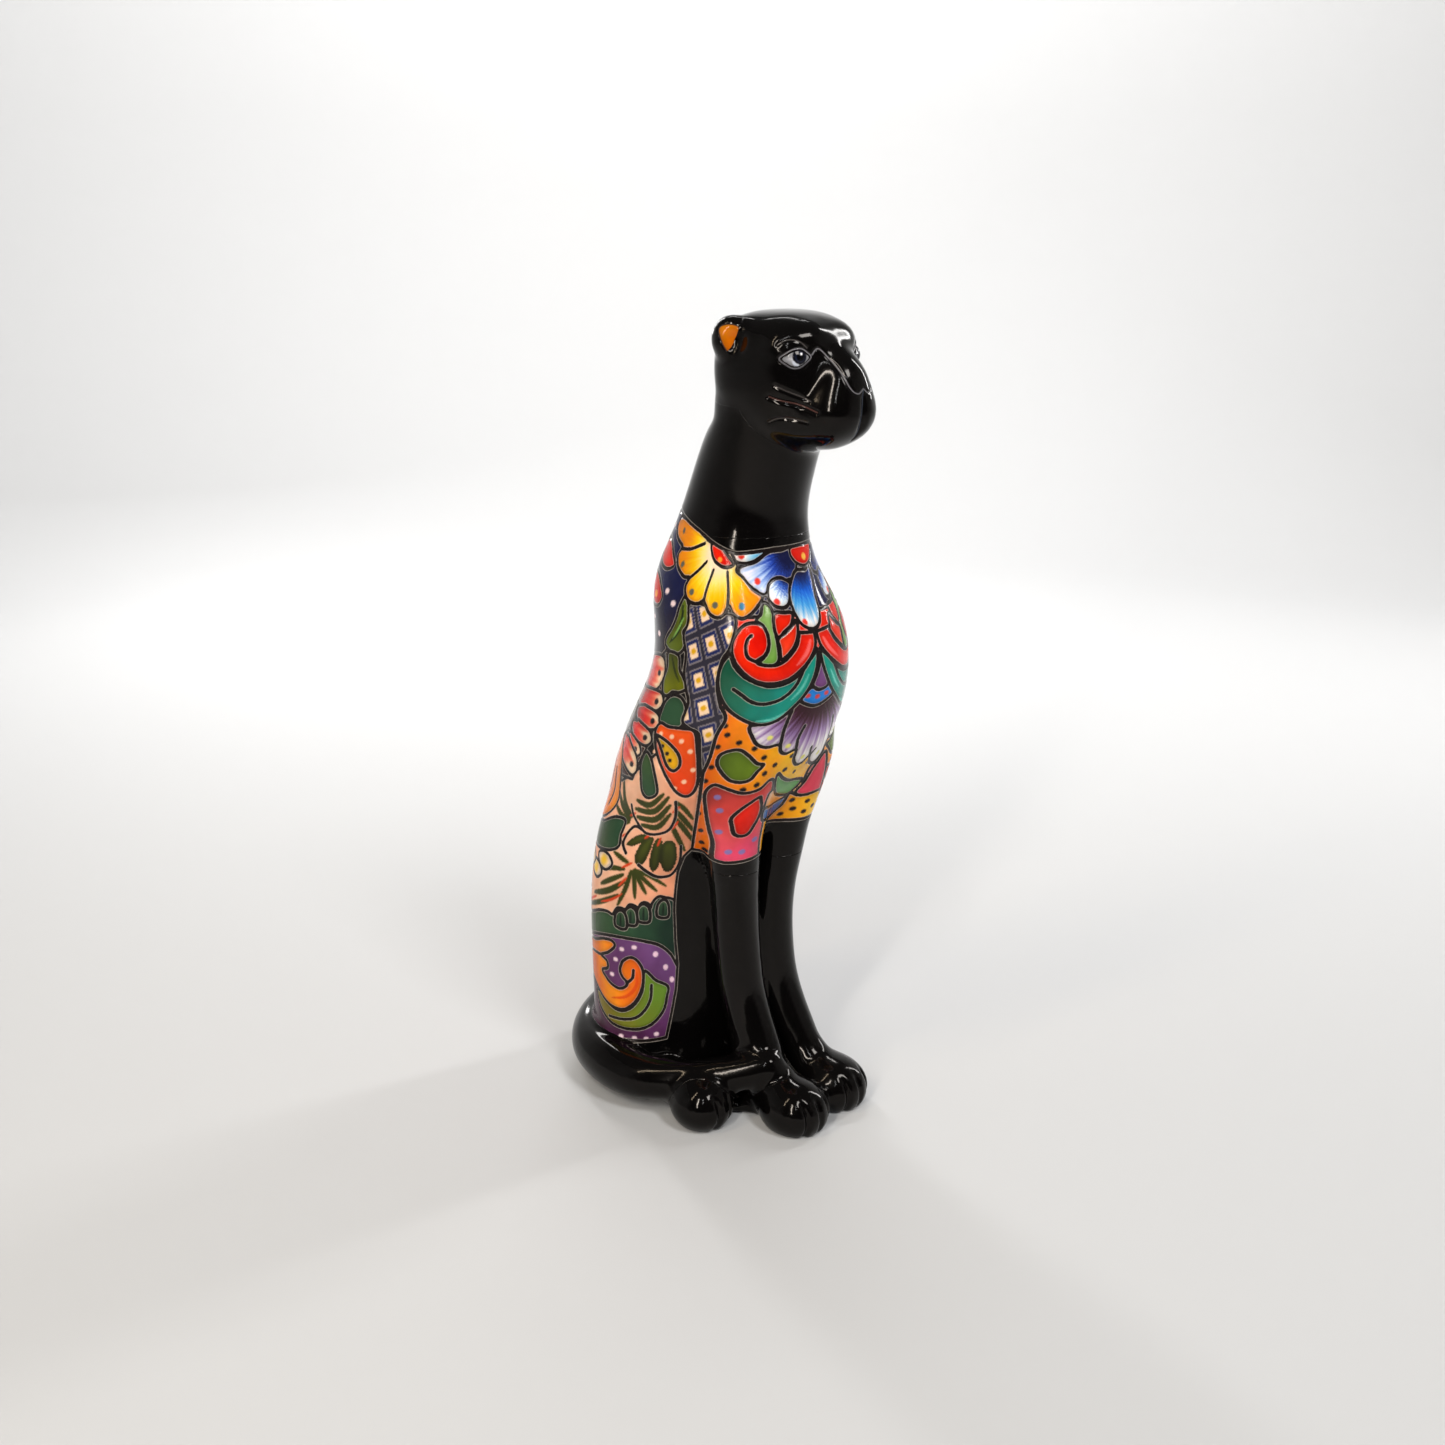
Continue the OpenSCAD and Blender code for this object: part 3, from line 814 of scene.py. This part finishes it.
def paint_scrolls(art):
    """The teal and red scrolls on each side of the chest."""
    art.cell([(9, 379), (12, 376), (16, 372), (23, 364), (32, 358), (43, 356), (53, 359), (62, 364),
              (69, 371), (73, 378), (78, 371), (79, 361), (76, 350), (69, 340), (60, 333), (50, 328),
              (42, 327), (34, 330), (26, 338), (18, 348), (13, 358), (10, 368)],
             fade((16, 350), (74, 366), (24, 150, 130), TEAL, (26, 104, 84), DARK_TEAL))
    art.line_along([(21, 366), (25, 357), (30, 350), (37, 345), (46, 343), (54, 345), (61, 350), (67, 354)])
    art.stroke([(30, 336), (38, 331), (48, 330)], 2.0, (90, 190, 172))
    art.stroke([(17, 362), (22, 352), (28, 345)], 1.8, (100, 196, 178))
    art.cell([(9, 391), (9, 391), (22, 392), (22, 392), (25, 384), (30, 378), (36, 373), (44, 371),
              (54, 374), (49, 378), (46, 384), (46, 391), (48, 397), (53, 400), (60, 400), (66, 397),
              (71, 390), (72, 382), (69, 374), (62, 366), (53, 360), (43, 358), (32, 360), (22, 367),
              (15, 374), (10, 382)],
             rings((50, 388), [6, 16, 30, 46], (214, 20, 8), (232, 40, 12), (226, 26, 10), (236, 60, 40)))
    art.line_along([(54, 374), (60, 377), (62, 383), (61, 389), (58, 392)])
    art.stroke([(14, 386), (18, 378), (26, 370)], 3.0, (240, 96, 92))
    art.cell([(42, 411), (47, 413), (50, 406), (54, 402), (49, 398), (46, 391), (46, 383), (49, 377),
              (53, 373), (44, 371), (39, 374), (39, 382), (40, 390), (41, 398), (40, 405)],
             fade((44, 410), (46, 374), LEAF, (150, 190, 110), (104, 150, 62)))
    art.cell([(24, 405), (31, 406), (39, 406), (41, 398), (39, 390), (33, 394), (27, 398)], RED)
    art.cell([(22, 400), (28, 396), (34, 392), (39, 389), (38, 382), (37, 375), (31, 379), (26, 385),
              (23, 392)], fade((24, 396), (36, 378), RED, (236, 70, 40)))


def paint_collar_flowers(art):
    """The blue flower on the chest and the yellow flower on the shoulder, hung from the collar line."""
    blue = rings((14, 446), [10, 22, 36, 50], NAVY, (40, 70, 170), (170, 196, 238), (236, 230, 246),
                 streak=0.2)
    art.cell([(0, 448), (20, 447), (36, 446), (50, 440), (65, 437), (67, 432), (60, 426), (52, 421),
              (44, 418), (36, 426), (22, 426), (8, 430)], blue)
    art.cell([(18, 424), (25, 428), (33, 428), (40, 424), (42, 416), (38, 411), (31, 409), (25, 411),
              (21, 417)],
             rings((20, 430), [4, 10, 18, 24], NAVY, (50, 90, 190), (220, 236, 248), WHITE, streak=0.2))
    art.cell([(-16, 433), (-6, 431), (6, 432), (14, 427), (21, 418), (22, 407), (18, 397), (9, 393), (1, 396),
              (-4, 404), (-7, 413), (-13, 424)],
             rings((2, 440), [12, 22, 32, 44], NAVY, COBALT, (70, 160, 226), WHITE, streak=0.1), "whole")
    art.dot((15, 398), 2.4, (222, 60, 50), "whole")
    art.dots(((35, 413), (50, 427)), 2.3, (222, 60, 50), stretch=1.2)
    art.cell([(-30, 448), (-8, 449), (8, 448), (10, 443), (4, 437), (-5, 434), (-14, 434), (-24, 438)],
             fade((-14, 448), (-8, 434), RED, (220, 24, 10)), "whole")
    art.dot((-10, 440), 2.4, (250, 190, 70), "whole", 1.6)
    art.cell([(40, 447), (50, 441), (60, 439), (70, 440), (80, 447), (60, 451)],
             fade((48, 444), (74, 444), (90, 180, 228), WHITE, (240, 210, 206)))
    art.dot((65, 444), 2.2, (206, 44, 30), stretch=1.5)
    art.cell([(70, 439), (70, 434), (64, 430), (55, 422), (47, 417), (52, 411), (58, 406), (65, 403),
              (72, 406), (76, 411), (80, 405), (86, 403), (93, 406), (99, 413), (104, 411), (111, 411),
              (118, 414), (122, 421), (120, 427), (127, 427), (135, 430), (142, 434), (147, 441),
              (143, 446), (152, 449), (165, 453), (172, 459), (168, 465), (150, 465), (120, 459),
              (100, 452), (84, 452)],
             rings((90, 446), [12, 20, 30, 44, 80], CREAM, (246, 214, 120), YELLOW, ORANGE, (216, 124, 14),
                   streak=0.07))
    for points in ([(77, 411), (77, 420), (79, 433)], [(99, 413), (98, 422), (94, 434)],
                   [(121, 426), (112, 432), (103, 439)], [(145, 445), (128, 446), (109, 451)]):
        art.line_along(points)
    art.dot((65, 411), 2.5, (48, 116, 150))
    art.dots(((88, 411), (113, 418), (134, 435), (149, 457)), 2.2, (92, 92, 80), stretch=1.2)
    art.cell([(73, 438), (81, 436), (90, 438), (97, 443), (100, 452), (91, 452), (84, 447), (77, 442)],
             fade((78, 440), (98, 450), (206, 20, 10), RED))
    art.dot((88, 441), 1.8, (246, 140, 50), stretch=1.4)


def paint_black(art):
    """Plain black glaze: neck, belly, the lower legs and everything at the floor."""
    art.cell([(-80, 231), (-30, 230), (-8, 231), (2, 226), (4, 190), (-80, 190)], BLACK, "whole", pool=0.0)
    art.cell([(-60, 448.5), (0, 448.5), (30, 448), (60, 446), (70, 445.5), (80, 447), (90, 449.5),
              (100, 452.5), (110, 456), (120, 459), (134, 462), (150, 465), (170, 468), (200, 470),
              (262, 471), (262, 640), (-60, 640)], BLACK, pool=0.0, smooth=False)
    art.cell([(-60, 213), (20, 214), (42, 211), (52, 212), (62, 213), (67, 206), (70, 190), (70, 160),
              (69, 130), (67, 110), (69, 88), (74, 66), (79, 46), (100, 44), (262, 43), (262, -20),
              (-60, -20)], BLACK, pool=0.0, smooth=False)
    around, height = art.charts["whole"].T
    cuff_back = (around > -58) & (around < 4) & (height > 195) & (height < 227.5)
    art.line[cuff_back] = LINE_FAR


def painted_body(points):
    chart = drum_chart(points)
    art = Painting(len(points), {"whole": chart, "folded": mirrored_chart(chart)})
    for paint in (paint_grounds, paint_back, paint_shoulder_leaves, paint_lattice, paint_haunch_leaves,
                  paint_spine, paint_orange_cell, paint_lower_haunch, paint_forelegs, paint_chest,
                  paint_scrolls, paint_collar_flowers, paint_black):
        paint(art)
    above = points[:, 2] > PAINT_TOP
    art.colour[above] = BLACK
    art.line[above] = LINE_FAR
    return art


# ---------------------------------------------------------------- the head: eyes, ears and scratched lines
# Both sides of the head are drawn alike. Each chart is flat, with its own middle on the figure's left side.
EYE = (33.5, -95.5, 581.0)
TO_NOSE = (-0.79, -0.61, 0.0)
EAR = (43.5, -47.5, 593.0)
TO_FACE = (-0.67, -0.74, 0.0)
SCRATCH = (122, 120, 124)
FAINT = (70, 66, 64)
FAR_AWAY = 999.0


def flat_chart(points, side, centre, across, reach):
    """Places near one spot: distance forward and height above it, with all else pushed out of the way."""
    offset = points * (side, 1.0, 1.0) - centre
    flat = np.stack([offset @ across, offset[:, 2]], 1)
    flat[np.abs(offset).max(1) > reach] = FAR_AWAY
    return flat


def paint_eye(art, kind):
    """An almond of white with a dark iris, a painted highlight glint, scratched lids and a brow line."""
    lids = [(-11, -0.5), (-7.5, 2.8), (-2, 5.8), (4, 6.2), (8.4, 3.6), (11, 0.6), (7.6, -3.2), (3, -6.2),
            (-2.5, -6.5), (-7.2, -4.0)]
    art.cell(lids, BLACK, kind, lined=False, pool=0.0)
    art.crease(lids, kind, 0.7, 0.9, SCRATCH, closed=True)
    art.cell([(-9, -0.6), (-6, 1.8), (-1.5, 4.0), (4, 4.4), (7.4, 2.2), (9, 0.2), (6.4, -2.6), (2.4, -4.8),
              (-2.2, -4.9), (-6, -3.0)], (214, 214, 220), kind, lined=False, pool=0.4)
    art.dot((2.2, 0.9), 4.9, (14, 14, 20), kind)
    art.dot((2.5, 0.7), 3.6, (22, 26, 42), kind)
    art.dot((2.7, 1.0), 2.7, (6, 6, 9), kind)
    art.stroke([(-2.2, -2.2), (-0.8, -3.8), (1.4, -4.4)], 2.0, (200, 204, 216), kind, taper=0.4)
    # painted highlight: a small white glint dot standing in for a reflection in the eye
    art.dot((3.4, 2.8), 0.9, (244, 244, 248), kind)
    art.crease([(-12, 8.5), (-8, 11), (-3, 12), (3, 10.5), (8, 6.5)], kind, 0.5, 1.3, FAINT)


def paint_ear(art, kind):
    """The orange patch in the hollow of the ear."""
    patch = [(-8.4, 7), (-5, 8.8), (0.5, 9), (5, 7), (7.2, 2), (4.6, -3.4), (0, -8.6), (-2.4, -9.6),
             (-4.6, -7), (-7.4, -1.5), (-9, 4)]
    art.cell(patch, fade((-6, 6), (4, -8), (222, 126, 14), (206, 104, 8), (170, 80, 6)), kind, lined=False)
    art.crease(patch, kind, 0.5, 0.9, (52, 44, 42), closed=True)


def painted_ear(points):
    charts = {name: flat_chart(points, side, EAR, TO_FACE, 17.0) for name, side in SIDES.items()}
    art = Painting(len(points), charts)
    for name in SIDES:
        paint_ear(art, name)
    return art


def painted_head(points):
    """Eyes, the edges of the nose, the split muzzle and the creases of the cheek."""
    charts = {"front": np.stack([np.abs(points[:, 0]), points[:, 2]], 1)}
    charts["front"][points[:, 1] > -84.0] = FAR_AWAY
    for name, side in SIDES.items():
        charts[name + " eye"] = flat_chart(points, side, EYE, TO_NOSE, 24.0)
        charts[name + " cheek"] = np.where(points[:, :1] * side > 6.0, points[:, 1:], FAR_AWAY)
    art = Painting(len(points), charts)
    for name in SIDES:
        cheek = name + " cheek"
        art.crease([(-84, 563), (-93, 558.5), (-104, 553)], cheek, 0.5, 1.2, FAINT)
        art.crease([(-79, 555.5), (-87, 553), (-96, 551), (-109, 546)], cheek, 1.5, 1.5, (96, 62, 56))
        art.crease([(-76, 538), (-84, 541), (-92, 541), (-102, 539)], cheek, 1.0, 1.3, FAINT)
        paint_eye(art, name + " eye")
    art.crease([(23, 583), (20, 587), (16.5, 584.5), (14, 578.5), (13.2, 572), (12.4, 565.5), (11, 561.5),
                (8.5, 558.8), (4.5, 558.2), (0, 561)], "front", 0.6, 1.0, SCRATCH)
    art.crease([(0, 560), (0, 548), (0, 536), (0, 527)], "front", 0.9, 1.2, (72, 78, 92))
    return art


# ---------------------------------------------------------------- the paws: a groove between each two toes
PAWS = {"foreleg_right": (-25.0, -96.0, 0.0, -1.0), "foreleg_left": (25.0, -96.0, 0.0, -1.0),
        "hind_paw_right": (-69.0, -40.0, 0.25, -0.97), "hind_paw_left": (61.0, -14.0, 0.1, -0.995)}
TOE_GROOVE_DEPTH = 2.4
TOE_SPACING = 9.5


def toes(points, name):
    """How deep the grooves between the toes are at each point of a paw."""
    x, y, ahead_x, ahead_y = PAWS[name]
    ahead = (points[:, 0] - x) * ahead_x + (points[:, 1] - y) * ahead_y
    across = (points[:, 0] - x) * -ahead_y + (points[:, 1] - y) * ahead_x
    depth = np.zeros(len(points))
    for place in (-TOE_SPACING, 0.0, TOE_SPACING):
        line = place * (1.0 + 0.012 * ahead)
        depth = np.maximum(depth, np.exp(-((across - line) / 2.0) ** 2))
    front = smoothstep(6.0, 15.0, ahead) * (1.0 - smoothstep(24.0, 33.0, points[:, 2]))
    return TOE_GROOVE_DEPTH * depth * front


# ---------------------------------------------------------------- from chart to mesh
def mesh_points(piece):
    """The piece's vertices in millimetres."""
    flat = np.empty(len(piece.data.vertices) * 3, np.float32)
    piece.data.vertices.foreach_get("co", flat)
    return flat.reshape(-1, 3).astype(float) / MM


def mesh_normals(piece):
    flat = np.empty(len(piece.data.vertices) * 3, np.float32)
    piece.data.vertices.foreach_get("normal", flat)
    return flat.reshape(-1, 3).astype(float)


def set_points(piece, points):
    """Move the piece's vertices to the given points, in millimetres."""
    piece.data.vertices.foreach_set("co", (points * MM).astype(np.float32).ravel())
    piece.data.update()


def store(piece, art):
    """Write the painted colours and the distances to the outlines onto the mesh."""
    shown = np.clip(art.colour / 255.0, 0.0, 1.0)
    linear = np.where(shown <= 0.04045, shown / 12.92, ((shown + 0.055) / 1.055) ** 2.4)
    rgba = np.ones((len(linear), 4), np.float32)
    rgba[:, :3] = linear
    paint = piece.data.attributes.new("paint", "FLOAT_COLOR", "POINT")
    paint.data.foreach_set("color", rgba.ravel())
    line = piece.data.attributes.new("outline", "FLOAT", "POINT")
    line.data.foreach_set("value", art.line.astype(np.float32))


GROOVE_DEPTH = 0.45
GROOVE_HALF = 1.3


def decorate(piece, name):
    """Paint a piece, and press its outlines, creases and toes into the surface."""
    points = mesh_points(piece)
    if name == "head_shell":
        art = painted_head(points)
    elif name in ("ear_right", "ear_left"):
        art = painted_ear(points)
    elif name in ("body_shell", "neck_shell"):
        art = painted_body(points)
    else:
        art = Painting(len(points), {})
    if name in PAWS:
        art.depth += toes(points, name)
    art.depth += GROOVE_DEPTH * (1.0 - smoothstep(0.3 * GROOVE_HALF, 1.6 * GROOVE_HALF, art.line))
    set_points(piece, points - mesh_normals(piece) * art.depth[:, None])
    store(piece, art)


# ---------------------------------------------------------------- materials
class Graph:
    """Short ways to build a material's nodes."""

    def __init__(self, name):
        self.material = bpy.data.materials.new(name)
        self.material.use_nodes = True
        self.tree = self.material.node_tree
        self.shader = self.tree.nodes["Principled BSDF"]

    def node(self, kind, inputs=(), **settings):
        made = self.tree.nodes.new(kind)
        for key, value in settings.items():
            setattr(made, key, value)
        for key, value in dict(inputs).items():
            if isinstance(value, bpy.types.NodeSocket):
                self.tree.links.new(value, made.inputs[key])
            else:
                made.inputs[key].default_value = value
        return made

    def span(self, value, low, high, start=0.0, end=1.0, smooth=True):
        kind = "SMOOTHSTEP" if smooth else "LINEAR"
        made = self.node("ShaderNodeMapRange", {"Value": value, "From Min": low, "From Max": high,
                                                "To Min": start, "To Max": end}, interpolation_type=kind)
        return made.outputs["Result"]

    def blend(self, factor, a, b):
        made = self.node("ShaderNodeMix", {"Factor": factor, "A": a, "B": b}, data_type="RGBA")
        return made.outputs["Result"]

    def link(self, output, name):
        self.tree.links.new(output, self.shader.inputs[name])

    def noise(self, scale, detail=2.0, vector=None):
        inputs = {"Scale": scale, "Detail": detail}
        if vector is not None:
            inputs["Vector"] = vector
        return self.node("ShaderNodeTexNoise", inputs).outputs["Fac"]


def glaze():
    """Wet-looking fired glaze over the paint. It ripples a little, and the ink of the outlines is duller."""
    graph = Graph("painted_glaze")
    shader = graph.shader
    place = graph.node("ShaderNodeTexCoord").outputs["Object"]
    ripple = graph.noise(26.0, 2.0, place)
    fine = graph.noise(420.0, 2.0, place)
    cloud = graph.noise(38.0, 3.0, place)
    colour = graph.node("ShaderNodeAttribute", attribute_name="paint").outputs["Color"]
    outline = graph.node("ShaderNodeAttribute", attribute_name="outline").outputs["Fac"]
    streaks = graph.span(cloud, 0.35, 0.7, 0.86, 1.1)
    colour = graph.node("ShaderNodeHueSaturation", {"Color": colour, "Value": streaks}).outputs["Color"]
    # Painted highlight: a pale rim beside each ink line stands in for light caught on the groove's edge,
    # together with the paler bare edge of the glaze
    pale = graph.span(outline, 1.45, 1.95, 0.5, 0.0)
    colour = graph.blend(pale, colour, (0.50, 0.44, 0.38, 1.0))
    wander = graph.span(fine, 0.3, 0.7, -0.15, 0.15, smooth=False)
    reach = graph.node("ShaderNodeMath", {0: outline, 1: wander}, operation="ADD").outputs[0]
    dark = graph.span(reach, 1.1, 1.45, 1.0, 0.0)
    colour = graph.blend(dark, colour, (0.010, 0.007, 0.007, 1.0))
    graph.link(colour, "Base Color")
    worn = graph.span(ripple, 0.3, 0.7, 0.05, 0.12)
    graph.link(graph.node("ShaderNodeMath", {0: dark, 1: 0.10, 2: worn}, operation="MULTIPLY_ADD").outputs[0],
               "Roughness")
    bump = graph.node("ShaderNodeBump", {"Height": ripple, "Strength": 0.2, "Distance": 0.0012})
    grit = graph.node("ShaderNodeBump", {"Height": fine, "Strength": 0.05, "Distance": 0.0003,
                                         "Normal": bump.outputs["Normal"]})
    graph.link(grit.outputs["Normal"], "Normal")
    shader.inputs["IOR"].default_value = 1.37
    shader.inputs["Specular IOR Level"].default_value = 0.3
    shader.inputs["Specular Tint"].default_value = (1.0, 0.94, 0.88, 1.0)
    return graph.material


def bare_clay():
    """Unglazed red clay, cloudy and gritty."""
    graph = Graph("bare_clay")
    place = graph.node("ShaderNodeTexCoord").outputs["Object"]
    cloud = graph.noise(30.0, 5.0, place)
    grain = graph.noise(900.0, 3.0, place)
    graph.link(graph.blend(graph.span(cloud, 0.3, 0.7), (0.38, 0.15, 0.08, 1.0), (0.55, 0.27, 0.16, 1.0)),
               "Base Color")
    graph.link(graph.span(grain, 0.2, 0.8, 0.75, 0.95), "Roughness")
    bump = graph.node("ShaderNodeBump", {"Height": grain, "Strength": 0.5, "Distance": 0.0004})
    graph.link(bump.outputs["Normal"], "Normal")
    return graph.material


# ---------------------------------------------------------------- assembly
pieces = glazed_pieces()
painted_glaze = glaze()
for name, piece in pieces.items():
    piece.data.shade_smooth()
    piece.data.materials.clear()
    piece.data.materials.append(painted_glaze)
    decorate(piece, name)
    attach(piece, "root")
    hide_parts(name)

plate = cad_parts["bottom_plate"]
plate.data.materials.clear()
plate.data.materials.append(bare_clay())


# ---------------------------------------------------------------- floor, lights and camera
CAMERA_TURN = math.radians(-48.0)
CAMERA_REACH = 1.10
CAMERA_HEIGHT = 0.64
CAMERA_PITCH = math.radians(17.1)
CAMERA_LENS = 37.05
TO_CAMERA = (math.sin(CAMERA_TURN), -math.cos(CAMERA_TURN), 0.0)


def studio_sweep():
    """A pale floor that curves up all round into a low wall, which is dark behind the camera."""
    rows = [(0.0, 0.0), (1.2, 0.0), (2.2, 0.0)]
    rows += [(2.2 + math.sin(turn), 1.0 - math.cos(turn)) for turn in np.radians(np.arange(10, 91, 10))]
    rows.append((3.2, 3.4))
    sides = 96
    turns = [2.0 * math.pi * k / sides for k in range(sides)]
    points = [(0.0, 0.0, 0.0)] + [(r * math.cos(a), r * math.sin(a), z) for r, z in rows[1:] for a in turns]
    faces = [(0, 1 + k, 1 + (k + 1) % sides) for k in range(sides)]
    for row in range(len(rows) - 2):
        inner = 1 + row * sides
        outer = inner + sides
        for k in range(sides):
            after = (k + 1) % sides
            faces.append((inner + k, outer + k, outer + after, inner + after))
    mesh = bpy.data.meshes.new("sweep")
    mesh.from_pydata(points, [], faces)
    mesh.shade_smooth()
    sweep = bpy.data.objects.new("sweep", mesh)
    bpy.context.scene.collection.objects.link(sweep)
    graph = Graph("pale_sweep")
    place = graph.node("ShaderNodeTexCoord").outputs["Object"]
    toward = graph.node("ShaderNodeVectorMath", {0: place, 1: TO_CAMERA}, operation="DOT_PRODUCT")
    behind_camera = graph.span(toward.outputs["Value"], 1.4, 2.5)
    graph.link(graph.blend(behind_camera, (0.56, 0.56, 0.56, 1.0), (0.05, 0.05, 0.05, 1.0)), "Base Color")
    graph.shader.inputs["Roughness"].default_value = 0.7
    graph.shader.inputs["Specular IOR Level"].default_value = 0.1
    mesh.materials.append(graph.material)


def lamp(name, place, aim, width, height, power, colour=(1.0, 1.0, 1.0)):
    """A rectangular lamp aimed at a place. Its sides are in metres and its power is in watts."""
    light = bpy.data.lights.new(name, "AREA")
    light.shape = "RECTANGLE"
    light.size = width
    light.size_y = height
    light.energy = power
    light.color = colour
    holder = bpy.data.objects.new(name, light)
    holder.location = place
    holder.rotation_euler = (Vector(place) - Vector(aim)).to_track_quat("Z", "Y").to_euler()
    holder.visible_camera = False
    bpy.context.scene.collection.objects.link(holder)


studio_sweep()
middle = (0.0, 0.0, 0.32)
lamp("key_strip", (-1.9, -0.7, 1.4), middle, 0.12, 1.6, 30.0, (1.0, 0.95, 0.88))
lamp("front_softbox", (-0.3, -1.6, 2.2), middle, 0.6, 0.6, 27.0)
lamp("left_strip", (1.9, -0.6, 1.4), middle, 0.14, 1.6, 18.0)
lamp("back_strip", (0.7, 1.9, 1.4), middle, 0.16, 1.6, 15.0)
lamp("warm_tube", (-1.3, 0.2, 1.7), middle, 0.02, 1.2, 6.0, (1.0, 0.84, 0.62))
lamp("cool_tube", (-1.5, -1.3, 1.9), middle, 0.02, 0.9, 5.0, (0.9, 0.95, 1.0))
lamp("backdrop_light", (1.0, 0.9, 2.3), (2.4, 2.2, 0.6), 1.0, 1.0, 72.0)

world = bpy.data.worlds.new("studio")
bpy.context.scene.world = world
world.use_nodes = True
world.node_tree.nodes["Background"].inputs["Color"].default_value = (1.0, 1.0, 1.0, 1.0)
world.node_tree.nodes["Background"].inputs["Strength"].default_value = 0.12

camera_data = bpy.data.cameras.new("camera")
camera_data.lens = CAMERA_LENS
camera_data.sensor_width = 36.0
camera = bpy.data.objects.new("camera", camera_data)
camera.location = CAMERA_REACH * Vector(TO_CAMERA) + Vector((0.0, 0.0, CAMERA_HEIGHT))
camera.rotation_euler = (math.pi / 2.0 - CAMERA_PITCH, 0.0, CAMERA_TURN)
bpy.context.scene.collection.objects.link(camera)
bpy.context.scene.camera = camera
bpy.context.scene.view_settings.view_transform = "Standard"
